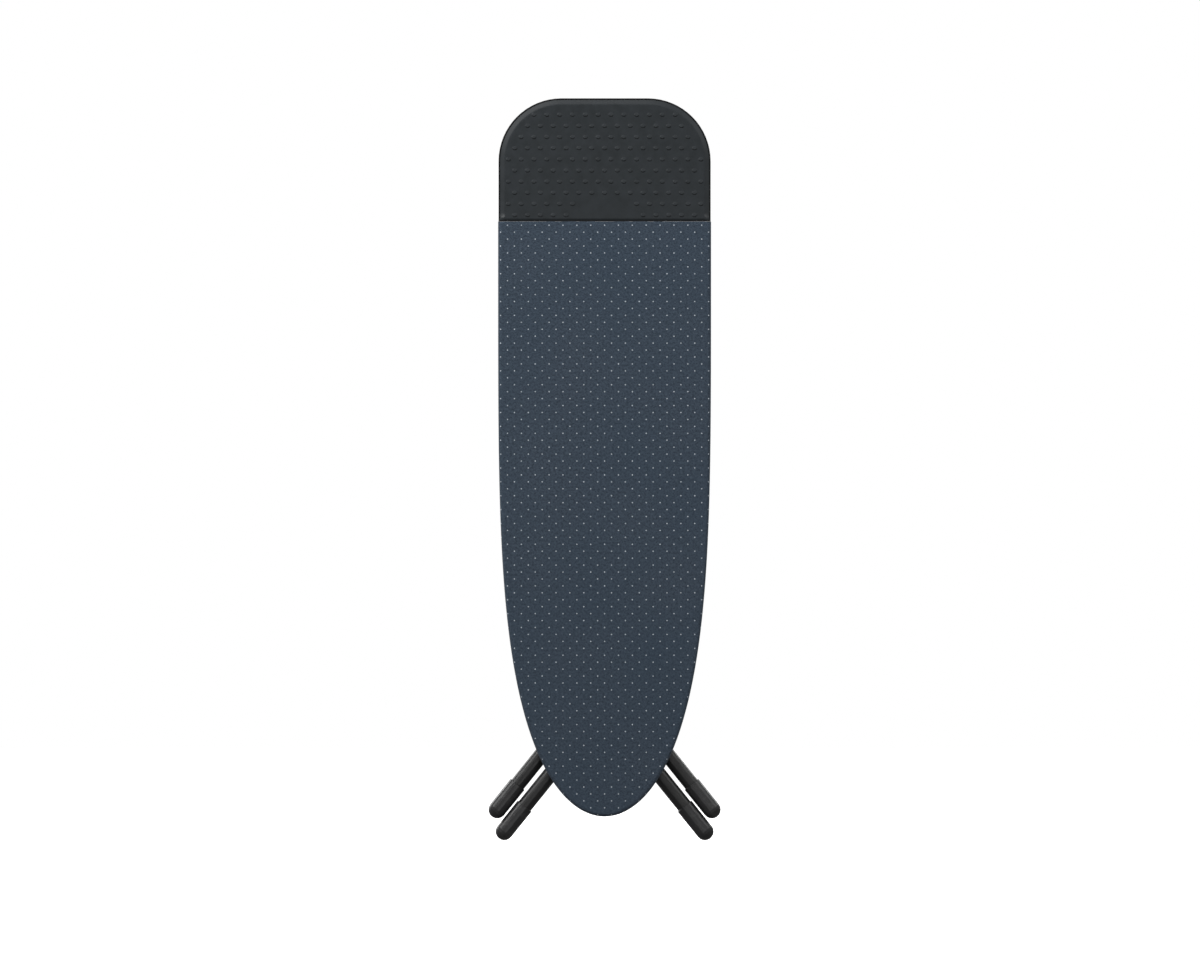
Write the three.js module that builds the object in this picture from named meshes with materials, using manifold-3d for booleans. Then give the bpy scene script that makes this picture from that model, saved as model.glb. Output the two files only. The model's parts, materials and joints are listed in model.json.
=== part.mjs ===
// A folding ironing board, stood on its nose end with its four splayed feet folded beneath the board.
// Units are millimetres and +Z is up. The ironing surface faces -Y and the folded legs lie on the +Y side.
// Depths are measured from the ironing surface towards the legs, and the last line centres them on Y = 0.
import * as THREE from "three";
import { mergeVertices } from "three/addons/utils/BufferGeometryUtils.js";
import Module from "manifold-3d";

const wasm = await Module();
wasm.setup();

// ---- Driving dimensions ----
const GAP = 0.3; // clearance left between two pieces that touch
const TOTAL_DEPTH = 66;

// Board outline: parallel sides that close in to a rounded nose
const NOSE_Z = 43;
const SHOULDER_Z = 1045.7;
const SEAM_Z = 1104.8; // straight end of the cover, where the iron rest begins
const BOARD_HALF_WIDTH = 190;
const NOSE_FULLNESS = 4.18;
const NOSE_STEPS = 22; // outline steps on each side

// Iron rest outline
const REST_TOP_Z = 1324.6;
const REST_HALF_WIDTH = 189.2;
const REST_CORNER_R = 112;

// Layers of the board, as depths
const COVER_THICK = 0.8;
const PAD_BACK = 7.3;
const PANEL_BACK = 8.4;
const FRAME_FRONT = PANEL_BACK + GAP;
const FRAME_BACK = 22.7;
const HEM_BACK = 24;
const HEM_REACH = 24; // how far the hem turns in from the board's edge
const RIM_INSET = 1.6;
const RIM_WIDTH = 14;
const SHEET = 1.5; // pressed steel
const RIB_WIDTH = 30;
const NOSE_RIB_TRIM = 5; // off each end of the nose rib, where the rim closes in
const RIB_HEIGHTS = { nose: 200, lower: 385, upper: 790, tail: 1068 };

// Legs
const LEG_DEPTH = 49; // plane of the leg axes, where both pairs of tubes nest side by side
const TUBE_R = 13.7;
const TUBE_WALL = 1;
const TUBE_SIDES = 24;
const TUBE_OVERRUN = 10; // tube past its pivot
const BEND_R = 70;
const BEND_STEPS = 6;
const SPLAY = Math.atan(0.804); // of the feet from the board's axis
const INNER_X = 30;
const NEST_PITCH = 34.15; // between neighbouring tubes
const OUTER_X = INNER_X + NEST_PITCH;
const INNER_SPLAY_Z = 238.6; // where the splayed axes would meet on the centre line
const OUTER_SPLAY_Z = 293.1;
const FOOT_R = 15.85;
const FOOT_LENGTH = 58; // from the centre of the round end to the mouth
const FOOT_SOCKET = 24; // from the centre of the round end to the tube's end
const INNER_FOOT_Z = FOOT_R;
const OUTER_FOOT_Z = 54.75;

// Linkage
const HINGE_Z = 1181; // fixed hinge of the inner legs
const CARRIAGE_Z = 1139.8; // sliding hinge of the outer legs, folded
const CROSS_Z = 581; // crossing pivot
const PIN_R = 4;
const AXLE_R = 5;
const FIT = 0.3; // radial clearance of a pin in its hole

// Rails
const RAIL_INNER_X = 88;
const RAIL_OUTER_X = 103.5;
const RAIL_LOW_Z = 410;
const RAIL_TOP_Z = 1292;
const RAIL_WALL = 1.4;
const GLIDE_HALF = 6.7;

// Height lock
const SHAFT_Z = 745;
const SHAFT_DEPTH = 17;
const SHAFT_R = 3;
const RACK_PIVOT_Z = 418;
const RACK_PIVOT_DEPTH = 19.5;
const RACK_BACK = 26.4;
const RACK_HALF_WIDTH = 8;
const NOTCH_PITCH = 38;
const NOTCH_COUNT = 7;

// ---- Materials ----
function paint(color, roughness, metalness) {
  return new THREE.MeshStandardMaterial({ color, roughness, metalness });
}

const FABRIC = paint("#384452", 0.95, 0);
const FELT = paint("#d9d4c8", 1, 0);
const CHARCOAL_STEEL = paint("#2d2d2e", 0.45, 0.6);
const ZINC = paint("#a9adb0", 0.35, 1);
const PLASTIC = paint("#222325", 0.6, 0);
const SILICONE = paint("#323639", 0.7, 0);
const RUBBER = paint("#29292a", 0.75, 0);
const ACETAL = paint("#8f9396", 0.5, 0);

// ---- Solids ----
function solidOf(geometry) {
  geometry.deleteAttribute("normal");
  geometry.deleteAttribute("uv");
  const merged = mergeVertices(geometry, 1e-4);
  return new wasm.Manifold(
    new wasm.Mesh({
      numProp: 3,
      vertProperties: merged.attributes.position.array,
      triVerts: new Uint32Array(merged.index.array),
    }),
  );
}

function geometryOf(solid) {
  const mesh = solid.getMesh();
  const geometry = new THREE.BufferGeometry();
  geometry.setAttribute("position", new THREE.BufferAttribute(mesh.vertProperties, 3));
  geometry.setIndex(new THREE.BufferAttribute(mesh.triVerts, 1));
  const faceted = geometry.toNonIndexed();
  faceted.computeVertexNormals();
  return faceted;
}

function joined(...solids) {
  return solids.reduce((whole, piece) => whole.add(piece));
}

function extruded(shape, length, curveSegments = 8) {
  return new THREE.ExtrudeGeometry(shape, { depth: length, bevelEnabled: false, curveSegments });
}

// A shape drawn in X and Z, filling the depths from front to back
function slab(shape, front, back) {
  return solidOf(extruded(shape, back - front).rotateX(Math.PI / 2).translate(0, back, 0));
}

// A profile drawn in depth and Z, running along X
function alongX(profile, x0, x1) {
  const turn = new THREE.Matrix4().makeBasis(
    new THREE.Vector3(0, 1, 0),
    new THREE.Vector3(0, 0, 1),
    new THREE.Vector3(1, 0, 0),
  );
  return solidOf(extruded(profile, x1 - x0).applyMatrix4(turn).translate(x0, 0, 0));
}

// A profile drawn in X and depth, running along Z
function alongZ(profile, z0, z1) {
  return solidOf(extruded(profile, z1 - z0).translate(0, 0, z0));
}

function box(x0, x1, front, back, z0, z1) {
  const geometry = new THREE.BoxGeometry(x1 - x0, back - front, z1 - z0);
  return solidOf(geometry.translate((x0 + x1) / 2, (front + back) / 2, (z0 + z1) / 2));
}

function rodAlongX(radius, x0, x1, depth, z, sides = 20) {
  const geometry = new THREE.CylinderGeometry(radius, radius, x1 - x0, sides);
  return solidOf(geometry.rotateZ(Math.PI / 2).translate((x0 + x1) / 2, depth, z));
}

function rodAlongY(radius, front, back, x, z, sides = 12) {
  const geometry = new THREE.CylinderGeometry(radius, radius, back - front, sides);
  return solidOf(geometry.translate(x, (front + back) / 2, z));
}

function polygon(points) {
  return new THREE.Shape(points.map(([a, b]) => new THREE.Vector2(a, b)));
}

// ---- Outlines ----
// A point on the right-hand edge: turn runs from 0 at the tip of the nose to a quarter turn at the shoulder
function edgePoint(turn) {
  const x = BOARD_HALF_WIDTH * Math.sin(turn);
  const reach = Math.pow(Math.max(Math.cos(turn), 0), 2 / NOSE_FULLNESS);
  return new THREE.Vector2(x, SHOULDER_Z - reach * (SHOULDER_Z - NOSE_Z));
}

function insetPoint(turn, inset) {
  const step = 1e-3;
  const before = edgePoint(Math.max(turn - step, 0));
  const after = edgePoint(Math.min(turn + step, Math.PI / 2));
  const along = after.sub(before).normalize();
  return edgePoint(turn).add(new THREE.Vector2(-along.y, along.x).multiplyScalar(inset));
}

// The board's outline drawn in by inset, with its straight end at endZ
function boardOutline(inset, endZ) {
  const right = [];
  for (let i = 0; i <= NOSE_STEPS; i += 1) {
    right.push(insetPoint((i / NOSE_STEPS) * (Math.PI / 2), inset));
  }
  right.push(new THREE.Vector2(BOARD_HALF_WIDTH - inset, endZ));
  const left = right.slice(1).map((p) => new THREE.Vector2(-p.x, p.y));
  return new THREE.Shape([...right, ...left.reverse()]);
}

// Half the board's width at a height, drawn in by inset
function halfWidthAt(z, inset) {
  const reach = Math.min(Math.max((SHOULDER_Z - z) / (SHOULDER_Z - NOSE_Z), 0), 1);
  return BOARD_HALF_WIDTH * Math.sqrt(1 - Math.pow(reach, NOSE_FULLNESS)) - inset;
}

function restOutline(inset, lowZ) {
  const side = REST_HALF_WIDTH - inset;
  const cornerX = REST_HALF_WIDTH - REST_CORNER_R;
  const cornerZ = REST_TOP_Z - REST_CORNER_R;
  const shape = new THREE.Shape();
  shape.moveTo(-side, lowZ);
  shape.lineTo(side, lowZ);
  shape.absarc(cornerX, cornerZ, REST_CORNER_R - inset, 0, Math.PI / 2, false);
  shape.absarc(-cornerX, cornerZ, REST_CORNER_R - inset, Math.PI / 2, Math.PI, false);
  return shape;
}

// ---- The scene graph ----
const ironingBoard = new THREE.Group();
const board = new THREE.Group();
const innerLegs = new THREE.Group();
const carriage = new THREE.Group();
const outerLegs = new THREE.Group();
const lever = new THREE.Group();
const rack = new THREE.Group();
ironingBoard.add(board, innerLegs, carriage, outerLegs, lever, rack);

function place(group, name, solid, material) {
  const mesh = new THREE.Mesh(geometryOf(solid), material);
  mesh.name = name;
  group.add(mesh);
}

const SIDES = [
  { name: "left", sign: -1 },
  { name: "right", sign: 1 },
];

// The same span on either side of the centre plane, as rising x values
function span(sign, near, far) {
  return sign > 0 ? [near, far] : [-far, -near];
}

// ---- Cover, pad, panel and rim ----
const HEM_GAP_HALF = 160; // no hem crosses the middle of the straight end
const cover = slab(boardOutline(0, SEAM_Z), 0, HEM_BACK)
  .subtract(slab(boardOutline(COVER_THICK, SEAM_Z - COVER_THICK), COVER_THICK, HEM_BACK - COVER_THICK))
  .subtract(slab(boardOutline(HEM_REACH, SEAM_Z - COVER_THICK), FRAME_BACK, HEM_BACK + 1))
  .subtract(box(-HEM_GAP_HALF, HEM_GAP_HALF, FRAME_BACK, HEM_BACK + 1, SEAM_Z - 2, SEAM_Z + 1));
place(board, "cover", cover, FABRIC);

const padInset = COVER_THICK + GAP;
const pad = slab(boardOutline(padInset, SEAM_Z - padInset), COVER_THICK + GAP, PAD_BACK);
place(board, "pad", pad, FELT);

const panel = slab(boardOutline(RIM_INSET, SEAM_Z - RIM_INSET), PAD_BACK + GAP, PANEL_BACK);
place(board, "mesh_panel", panel, CHARCOAL_STEEL);

function ring(inset, width, front, back) {
  const outer = slab(boardOutline(inset, SEAM_Z - inset), front, back);
  return outer.subtract(slab(boardOutline(inset + width, SEAM_Z - inset - width), front - 1, back + 1));
}

const rim = ring(RIM_INSET, RIM_WIDTH, FRAME_FRONT, FRAME_BACK)
  .subtract(ring(RIM_INSET + SHEET, RIM_WIDTH - 2 * SHEET, FRAME_FRONT + SHEET, FRAME_BACK + 1));
place(board, "rim_channel", rim, CHARCOAL_STEEL);

// ---- Cross ribs: channels that open towards the panel ----
for (const [name, z] of Object.entries(RIB_HEIGHTS)) {
  const reach = halfWidthAt(z - RIB_WIDTH / 2, RIM_INSET + RIM_WIDTH + GAP);
  const halfLength = name === "nose" ? reach - NOSE_RIB_TRIM : reach;
  const low = z - RIB_WIDTH / 2;
  const high = z + RIB_WIDTH / 2;
  const profile = polygon([
    [FRAME_FRONT, low],
    [FRAME_BACK, low],
    [FRAME_BACK, high],
    [FRAME_FRONT, high],
    [FRAME_FRONT, high - SHEET],
    [FRAME_BACK - SHEET, high - SHEET],
    [FRAME_BACK - SHEET, low + SHEET],
    [FRAME_FRONT, low + SHEET],
  ]);
  place(board, "cross_rib_" + name, alongX(profile, -halfLength, halfLength), CHARCOAL_STEEL);
}

// ---- Rails ----
const SLOT_FRONT = LEG_DEPTH - GLIDE_HALF - GAP;
const SLOT_BACK = LEG_DEPTH + GLIDE_HALF + GAP;
const FLANGE_FRONT = FRAME_BACK + GAP;
const FLANGE_BACK = FLANGE_FRONT + RAIL_WALL;
const RAIL_STOP_THICK = 4;
const RAIL_STOP_PLUG = 10; // how far the stop reaches into the slot
const RAIL_SCREW_X = 94;
const RAIL_SCREWS_Z = { low: 1132, high: 1262 };
const SCREW_R = 2;

function railProfile(sign) {
  const inner = RAIL_INNER_X * sign;
  const web = (RAIL_OUTER_X - RAIL_WALL) * sign;
  const outer = RAIL_OUTER_X * sign;
  return polygon([
    [inner, FLANGE_FRONT],
    [outer, FLANGE_FRONT],
    [outer, SLOT_BACK + RAIL_WALL],
    [inner, SLOT_BACK + RAIL_WALL],
    [inner, SLOT_BACK],
    [web, SLOT_BACK],
    [web, SLOT_FRONT],
    [inner, SLOT_FRONT],
    [inner, SLOT_FRONT - RAIL_WALL],
    [web, SLOT_FRONT - RAIL_WALL],
    [web, FLANGE_BACK],
    [inner, FLANGE_BACK],
  ]);
}

for (const { name, sign } of SIDES) {
  let rail = alongZ(railProfile(sign), RAIL_LOW_Z, RAIL_TOP_Z);
  for (const z of Object.values(RAIL_SCREWS_Z)) {
    rail = rail.subtract(rodAlongY(SCREW_R + FIT, FRAME_BACK, FLANGE_BACK + 1, RAIL_SCREW_X * sign, z));
  }
  place(board, "rail_" + name, rail, CHARCOAL_STEEL);

  const [x0, x1] = span(sign, RAIL_INNER_X, RAIL_OUTER_X);
  const [slotX0, slotX1] = span(sign, RAIL_INNER_X, RAIL_OUTER_X - RAIL_WALL - GAP);
  const capLow = RAIL_LOW_Z - RAIL_STOP_THICK;
  const plugTop = RAIL_LOW_Z + RAIL_STOP_PLUG;
  const cap = box(x0, x1, FLANGE_FRONT, SLOT_BACK + RAIL_WALL, capLow, RAIL_LOW_Z - GAP);
  const plug = box(slotX0, slotX1, SLOT_FRONT + GAP, SLOT_BACK - GAP, capLow + 1, plugTop);
  place(board, "rail_stop_" + name, joined(cap, plug), PLASTIC);
}

// ---- Iron rest: tray, mat and screws ----
const TRAY_FRONT = 2.4;
const TRAY_WALL = 3;
const MAT_FLOOR = 4.9;
const MAT_INSET = 1.5;
const TRAY_LOW_Z = SEAM_Z + GAP;
const BOSS_R = 7;
const SCREW_DEPTH = 10;
const SCREW_HEAD = 2.4;
const TRAY_WEB = 3; // width of the ribs across the tray's underside

const webHalf = TRAY_WEB / 2;
const trayPocket = slab(restOutline(TRAY_WALL, TRAY_LOW_Z + TRAY_WALL), MAT_FLOOR + TRAY_WALL, FRAME_BACK + 1)
  .subtract(box(-REST_HALF_WIDTH, REST_HALF_WIDTH, 0, HEM_BACK, HINGE_Z - webHalf, HINGE_Z + webHalf))
  .subtract(box(-webHalf, webHalf, 0, HEM_BACK, SEAM_Z, REST_TOP_Z));
let tray = slab(restOutline(0, TRAY_LOW_Z), TRAY_FRONT, FRAME_BACK)
  .subtract(slab(restOutline(MAT_INSET, TRAY_LOW_Z + MAT_INSET), 0, MAT_FLOOR))
  .subtract(trayPocket);
for (const { sign } of SIDES) {
  for (const z of Object.values(RAIL_SCREWS_Z)) {
    const boss = rodAlongY(BOSS_R, MAT_FLOOR + 1, FRAME_BACK, RAIL_SCREW_X * sign, z);
    const hole = rodAlongY(SCREW_R + FIT, SCREW_DEPTH - GAP, FRAME_BACK + 1, RAIL_SCREW_X * sign, z);
    tray = tray.add(boss).subtract(hole);
  }
}
place(board, "rest_tray", tray, PLASTIC);

for (const { name, sign } of SIDES) {
  for (const [level, z] of Object.entries(RAIL_SCREWS_Z)) {
    const shank = rodAlongY(SCREW_R, SCREW_DEPTH, FLANGE_BACK + 1, RAIL_SCREW_X * sign, z);
    const head = rodAlongY(SCREW_R * 2, FLANGE_BACK + GAP, FLANGE_BACK + SCREW_HEAD, RAIL_SCREW_X * sign, z);
    place(board, "rest_screw_" + name + "_" + level, joined(shank, head), ZINC);
  }
}

const MAT_FRONT = 0.4;
const MAT_BEVEL = 2.4; // height of the mat's sloped edge
const MAT_SLOPE = 5.5; // width of the mat's sloped edge
const matInset = MAT_INSET + GAP + MAT_SLOPE;
const matGeometry = new THREE.ExtrudeGeometry(restOutline(matInset, TRAY_LOW_Z + matInset), {
  depth: MAT_BEVEL,
  bevelThickness: MAT_BEVEL,
  bevelSize: MAT_SLOPE,
  bevelSegments: 3,
  curveSegments: 8,
});
matGeometry.rotateX(Math.PI / 2).translate(0, MAT_FRONT + 2 * MAT_BEVEL, 0);
const matBack = MAT_FLOOR - GAP;
const matSpace = box(-REST_HALF_WIDTH, REST_HALF_WIDTH, 0, matBack, SEAM_Z, REST_TOP_Z);
place(board, "rest_mat", solidOf(matGeometry).intersect(matSpace), SILICONE);

// ---- Fixed hinge of the inner legs ----
const MEMBER_HALF = 16; // half the crossmember's height
const MEMBER_BACK = 30;
const memberProfile = polygon([
  [FLANGE_FRONT, HINGE_Z - MEMBER_HALF],
  [MEMBER_BACK, HINGE_Z - MEMBER_HALF],
  [MEMBER_BACK, HINGE_Z + MEMBER_HALF],
  [FLANGE_FRONT, HINGE_Z + MEMBER_HALF],
  [FLANGE_FRONT, HINGE_Z + MEMBER_HALF - SHEET],
  [MEMBER_BACK - SHEET, HINGE_Z + MEMBER_HALF - SHEET],
  [MEMBER_BACK - SHEET, HINGE_Z - MEMBER_HALF + SHEET],
  [FLANGE_FRONT, HINGE_Z - MEMBER_HALF + SHEET],
]);
const memberReach = RAIL_INNER_X - GAP;
place(board, "hinge_crossmember", alongX(memberProfile, -memberReach, memberReach), CHARCOAL_STEEL);

const SIDE_PLAY = 0.6; // sideways clearance beside a moving tube
const EAR_NEAR = INNER_X + TUBE_R + SIDE_PLAY;
const EAR_THICK = 3;
const EAR_R = 9;
const EAR_TAPER = 2; // the ear's root is this much shorter than the crossmember at each end
const BRACKET_FOOT_WIDTH = 22;
const BRACKET_FOOT_THICK = 2;
const BRACKET_FOOT_HALF = 14;
const AXLE_CAP_R = 8;
const AXLE_CAP_LENGTH = 5;
const AXLE_END = 3.2; // axle past the ear, inside the cap

function hingeEar() {
  const ear = new THREE.Shape();
  ear.moveTo(MEMBER_BACK + GAP, HINGE_Z - MEMBER_HALF + EAR_TAPER);
  ear.lineTo(LEG_DEPTH, HINGE_Z - EAR_R);
  ear.absarc(LEG_DEPTH, HINGE_Z, EAR_R, -Math.PI / 2, Math.PI / 2, false);
  ear.lineTo(MEMBER_BACK + GAP, HINGE_Z + MEMBER_HALF - EAR_TAPER);
  return ear;
}

for (const { name, sign } of SIDES) {
  const [x0, x1] = span(sign, EAR_NEAR, EAR_NEAR + EAR_THICK);
  const [footX0, footX1] = span(sign, EAR_NEAR, EAR_NEAR + BRACKET_FOOT_WIDTH);
  const footFront = MEMBER_BACK + GAP;
  const footBack = footFront + BRACKET_FOOT_THICK;
  const footLow = HINGE_Z - BRACKET_FOOT_HALF;
  const foot = box(footX0, footX1, footFront, footBack, footLow, HINGE_Z + BRACKET_FOOT_HALF);
  const bracket = joined(alongX(hingeEar(), x0, x1), foot)
    .subtract(rodAlongX(AXLE_R + FIT, x0 - 1, x1 + 1, LEG_DEPTH, HINGE_Z));
  place(board, "hinge_bracket_" + name, bracket, CHARCOAL_STEEL);

  const earFar = EAR_NEAR + EAR_THICK;
  const [capX0, capX1] = span(sign, earFar + GAP, earFar + AXLE_CAP_LENGTH);
  const [boreX0, boreX1] = span(sign, EAR_NEAR, earFar + AXLE_END + GAP);
  const cap = rodAlongX(AXLE_CAP_R, capX0, capX1, LEG_DEPTH, HINGE_Z)
    .subtract(rodAlongX(AXLE_R + FIT, boreX0, boreX1, LEG_DEPTH, HINGE_Z));
  place(board, "hinge_axle_cap_" + name, cap, PLASTIC);
}
const axleReach = EAR_NEAR + EAR_THICK + AXLE_END;
place(board, "hinge_axle", rodAlongX(AXLE_R, -axleReach, axleReach, LEG_DEPTH, HINGE_Z), ZINC);

// ---- Leg tubes, feet and end plugs ----
// A path of two straight runs joined by an arc, with stations at the ends of the runs and along the arc
class BentPath extends THREE.Curve {
  constructor(start, corner, end, radius, steps) {
    super();
    const first = corner.clone().sub(start).normalize();
    const last = end.clone().sub(corner).normalize();
    const turn = first.angleTo(last);
    const tangentLength = radius * Math.tan(turn / 2);
    const arcStart = corner.clone().addScaledVector(first, -tangentLength);
    const axis = first.clone().cross(last).normalize();
    const centre = arcStart.clone().addScaledVector(axis.clone().cross(first), radius);
    this.stations = [{ point: start, tangent: first }];
    for (let i = 0; i <= steps; i += 1) {
      const angle = (i / steps) * turn;
      const point = arcStart.clone().sub(centre).applyAxisAngle(axis, angle).add(centre);
      this.stations.push({ point, tangent: first.clone().applyAxisAngle(axis, angle) });
    }
    this.stations.push({ point: end, tangent: last });
  }

  blend(t, field) {
    const place = t * (this.stations.length - 1);
    const index = Math.min(Math.floor(place + 1e-6), this.stations.length - 2);
    return this.stations[index][field].clone().lerp(this.stations[index + 1][field], place - index);
  }

  getPoint(t) {
    return this.blend(t, "point");
  }

  getTangent(t) {
    return this.blend(t, "tangent").normalize();
  }

  getUtoTmapping(u) {
    return u;
  }
}

function circlePoints(radius, sides) {
  const points = [];
  for (let i = 0; i < sides; i += 1) {
    const angle = (i / sides) * 2 * Math.PI;
    points.push(new THREE.Vector2(radius * Math.cos(angle), radius * Math.sin(angle)));
  }
  return points;
}

function footX(splayZ, z) {
  return (splayZ - z) * Math.tan(SPLAY);
}

function legTube(sign, x, topZ, splayZ, footZ) {
  const start = new THREE.Vector3(sign * x, LEG_DEPTH, topZ);
  const corner = new THREE.Vector3(sign * x, LEG_DEPTH, splayZ - x / Math.tan(SPLAY));
  const outward = new THREE.Vector3(sign * Math.sin(SPLAY), 0, -Math.cos(SPLAY));
  const foot = new THREE.Vector3(sign * footX(splayZ, footZ), LEG_DEPTH, footZ);
  const end = foot.addScaledVector(outward, -FOOT_SOCKET);
  const path = new BentPath(start, corner, end, BEND_R, BEND_STEPS);
  const section = new THREE.Shape(circlePoints(TUBE_R, TUBE_SIDES));
  section.holes.push(new THREE.Path(circlePoints(TUBE_R - TUBE_WALL, TUBE_SIDES / 2)));
  return solidOf(
    new THREE.ExtrudeGeometry(section, { extrudePath: path, steps: BEND_STEPS + 2, bevelEnabled: false }),
  );
}

const FOOT_LIP = 0.8; // chamfer round the mouth of a foot

function footCap(sign, splayZ, footZ) {
  const roundSteps = 5;
  const profile = [];
  for (let i = 0; i <= roundSteps; i += 1) {
    const angle = (i / roundSteps) * (Math.PI / 2);
    profile.push(new THREE.Vector2(FOOT_R * Math.sin(angle), -FOOT_R * Math.cos(angle)));
  }
  profile[0].x = 0;
  profile.push(new THREE.Vector2(FOOT_R, FOOT_LENGTH - FOOT_LIP));
  profile.push(new THREE.Vector2(FOOT_R - FOOT_LIP, FOOT_LENGTH));
  profile.push(new THREE.Vector2(TUBE_R + GAP, FOOT_LENGTH));
  profile.push(new THREE.Vector2(TUBE_R + GAP, FOOT_SOCKET - GAP));
  profile.push(new THREE.Vector2(0, FOOT_SOCKET - GAP));
  const geometry = new THREE.LatheGeometry(profile, TUBE_SIDES);
  geometry.rotateX(Math.PI / 2).rotateY(-sign * SPLAY);
  return solidOf(geometry.translate(sign * footX(splayZ, footZ), LEG_DEPTH, footZ));
}

const PLUG_DEPTH = 4; // of the collar inside the tube
const PLUG_CROWN = 2.8; // height of the domed end
const PLUG_PLAY = 0.7;

function endPlug(sign, x, topZ) {
  const collar = TUBE_R - TUBE_WALL - PLUG_PLAY;
  const profile = [new THREE.Vector2(0, -PLUG_DEPTH), new THREE.Vector2(collar, -PLUG_DEPTH)];
  profile.push(new THREE.Vector2(collar, GAP));
  const domeSteps = 3;
  for (let i = 0; i <= domeSteps; i += 1) {
    const angle = (i / domeSteps) * (Math.PI / 2);
    const height = GAP + (PLUG_CROWN - GAP) * Math.sin(angle);
    profile.push(new THREE.Vector2(i === domeSteps ? 0 : TUBE_R * Math.cos(angle), height));
  }
  const geometry = new THREE.LatheGeometry(profile, TUBE_SIDES);
  return solidOf(geometry.rotateX(Math.PI / 2).translate(sign * x, LEG_DEPTH, topZ));
}

for (const { name, sign } of SIDES) {
  const innerTop = HINGE_Z + TUBE_OVERRUN;
  const [innerX0, innerX1] = span(sign, INNER_X - 2 * TUBE_R, INNER_X + 2 * TUBE_R);
  const innerTube = legTube(sign, INNER_X, innerTop, INNER_SPLAY_Z, INNER_FOOT_Z)
    .subtract(rodAlongX(AXLE_R + FIT, innerX0, innerX1, LEG_DEPTH, HINGE_Z))
    .subtract(rodAlongX(AXLE_R + FIT, innerX0, innerX1, LEG_DEPTH, CROSS_Z));
  place(innerLegs, "inner_leg_tube_" + name, innerTube, CHARCOAL_STEEL);
  place(innerLegs, "inner_leg_foot_" + name, footCap(sign, INNER_SPLAY_Z, INNER_FOOT_Z), RUBBER);
  place(innerLegs, "inner_leg_plug_" + name, endPlug(sign, INNER_X, innerTop), PLASTIC);

  const outerTop = CARRIAGE_Z + TUBE_OVERRUN;
  const [outerX0, outerX1] = span(sign, OUTER_X - 2 * TUBE_R, OUTER_X + 2 * TUBE_R);
  const outerTube = legTube(sign, OUTER_X, outerTop, OUTER_SPLAY_Z, OUTER_FOOT_Z)
    .subtract(rodAlongX(PIN_R + FIT, outerX0, outerX1, LEG_DEPTH, CARRIAGE_Z));
  place(outerLegs, "outer_leg_tube_" + name, outerTube, CHARCOAL_STEEL);
  place(outerLegs, "outer_leg_foot_" + name, footCap(sign, OUTER_SPLAY_Z, OUTER_FOOT_Z), RUBBER);
  place(outerLegs, "outer_leg_plug_" + name, endPlug(sign, OUTER_X, outerTop), PLASTIC);
}

// ---- Braces ----
const BRACE_THICK = 3;
const BRACE_LOW_Z = 860;
const BRACE_HEIGHT = 70;
const YOKE_LOW_Z = 236;
const YOKE_HEIGHT = 64;
const YOKE_HALF_DEPTH = 9;
const YOKE_WALL = 3;
const YOKE_FLOOR = LEG_DEPTH + 2;
const STRAP_WIDTH = 30;
const STRAP_LOW_Z = { upper: 486, lower: 246 };

const braceReach = INNER_X - TUBE_R - GAP; // half the space between the two inner tubes
const braceFront = LEG_DEPTH - BRACE_THICK / 2;
const braceTop = BRACE_LOW_Z + BRACE_HEIGHT;
const innerBrace = box(-braceReach, braceReach, braceFront, braceFront + BRACE_THICK, BRACE_LOW_Z, braceTop);
place(innerLegs, "inner_leg_brace", innerBrace, CHARCOAL_STEEL);

const yokeBack = LEG_DEPTH + YOKE_HALF_DEPTH;
const yokeTop = YOKE_LOW_Z + YOKE_HEIGHT;
const recessReach = braceReach - YOKE_WALL;
const recessTop = yokeTop - YOKE_WALL;
const yoke = box(-braceReach, braceReach, LEG_DEPTH - YOKE_HALF_DEPTH, yokeBack, YOKE_LOW_Z, yokeTop)
  .subtract(box(-recessReach, recessReach, YOKE_FLOOR, yokeBack + 1, YOKE_LOW_Z + YOKE_WALL, recessTop));
place(innerLegs, "inner_leg_yoke", yoke, PLASTIC);

const STRAP_FRONT = LEG_DEPTH + TUBE_R + GAP;
const strapReach = OUTER_X + TUBE_R;

for (const [name, lowZ] of Object.entries(STRAP_LOW_Z)) {
  const round = STRAP_WIDTH / 2;
  const shape = new THREE.Shape();
  shape.absarc(strapReach - round, lowZ + round, round, -Math.PI / 2, Math.PI / 2, false);
  shape.absarc(-strapReach + round, lowZ + round, round, Math.PI / 2, (3 * Math.PI) / 2, false);
  place(outerLegs, "outer_leg_strap_" + name, slab(shape, STRAP_FRONT, TOTAL_DEPTH), CHARCOAL_STEEL);
}

// ---- Crossing pivot ----
const WASHER_R = 10;
const RIVET_CAP_R = 8;
const RIVET_CAP_THICK = 3;
const crossReach = OUTER_X - TUBE_R - SIDE_PLAY;
place(innerLegs, "cross_axle", rodAlongX(AXLE_R, -crossReach, crossReach, LEG_DEPTH, CROSS_Z), ZINC);
for (const { name, sign } of SIDES) {
  const [x0, x1] = span(sign, INNER_X + TUBE_R + GAP, crossReach);
  const washer = rodAlongX(WASHER_R, x0, x1, LEG_DEPTH, CROSS_Z)
    .subtract(rodAlongX(AXLE_R + FIT, x0 - 1, x1 + 1, LEG_DEPTH, CROSS_Z));
  place(innerLegs, "cross_spacer_" + name, washer, ACETAL);

  const [capX0, capX1] = span(sign, strapReach + GAP, strapReach + RIVET_CAP_THICK);
  const rivetCap = rodAlongX(RIVET_CAP_R, capX0, capX1, LEG_DEPTH, CROSS_Z);
  place(outerLegs, "cross_rivet_cap_" + name, rivetCap, ZINC);
}

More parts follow.
